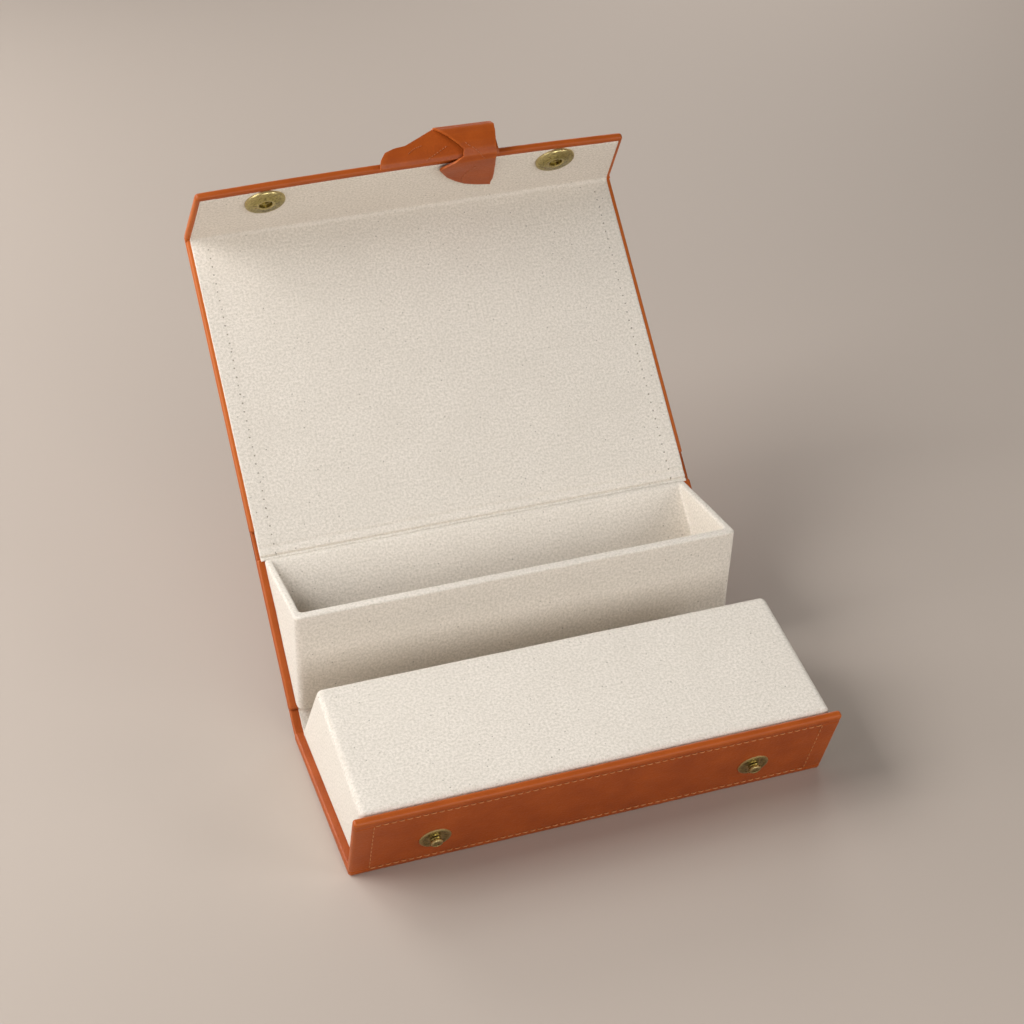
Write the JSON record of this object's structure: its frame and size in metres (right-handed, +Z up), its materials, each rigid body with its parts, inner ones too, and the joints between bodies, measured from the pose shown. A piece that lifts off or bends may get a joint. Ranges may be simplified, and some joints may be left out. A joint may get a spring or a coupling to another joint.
{
  "type": "book-shaped gift box",
  "caption": "Book-shaped leather gift box, standing open, with a linen block and tray, magnetic snaps and a folded pull tab.",
  "frame": {"origin": "centre of the base's underside, on the surface it stands on", "axes": "+Z up, +X to the right along the spine's fold, +Y from the front wall towards the spine and the raised cover"},
  "size_m": [0.2, 0.269, 0.204],
  "materials": {
    "leather": "satin",
    "linen": "matte",
    "board": "matte",
    "core": "matte",
    "brass": "antique",
    "steel": "satin"
  },
  "bodies": {
    "base": {"base_leather": "leather", "base_board": "board", "front_board": "board", "block_fabric": "linen", "block_core": "core", "stud_plate_left": "brass", "stud_plate_right": "brass", "stud_post_left": "brass", "stud_post_right": "brass", "stud_washer_left": "steel", "stud_washer_right": "steel"},
    "spine": {"spine_gutter_leather": "leather", "spine_gutter_lining": "linen", "spine_leather": "leather", "spine_board": "board", "tray_board": "board", "tray_wrap": "linen", "tray_lining": "linen", "cover_gutter_leather": "leather", "cover_gutter_lining": "linen"},
    "cover": {"cover_leather": "leather", "cover_board": "board", "cover_lining": "linen", "fold_leather": "leather"},
    "flap": {"flap_leather": "leather", "flap_board": "board", "flap_lining": "linen", "socket_housing_left": "brass", "socket_housing_right": "brass", "socket_magnet_left": "steel", "socket_magnet_right": "steel", "socket_washer_left": "steel", "socket_washer_right": "steel", "pull_tab": "leather"}
  },
  "joints": [
    {"name": "spine_hinge", "type": "hinge", "parent": "base", "child": "spine", "pos_m": [0, 0.0486, 0.00493], "axis": [1, 0, 0], "range_deg": [-44.4, 30], "deforming": ["spine_gutter_leather", "spine_gutter_lining"]},
    {"name": "cover_hinge", "type": "hinge", "parent": "spine", "child": "cover", "pos_m": [0, 0.10458, 0.05985], "axis": [1, 0, 0], "range_deg": [0, 121], "deforming": ["cover_gutter_leather", "cover_gutter_lining"]},
    {"name": "flap_hinge", "type": "hinge", "parent": "cover", "child": "flap", "pos_m": [0, 0.20341, 0.16058], "axis": [1, 0, 0], "range_deg": [-84.8, 12.5], "deforming": ["fold_leather"]}
  ]
}
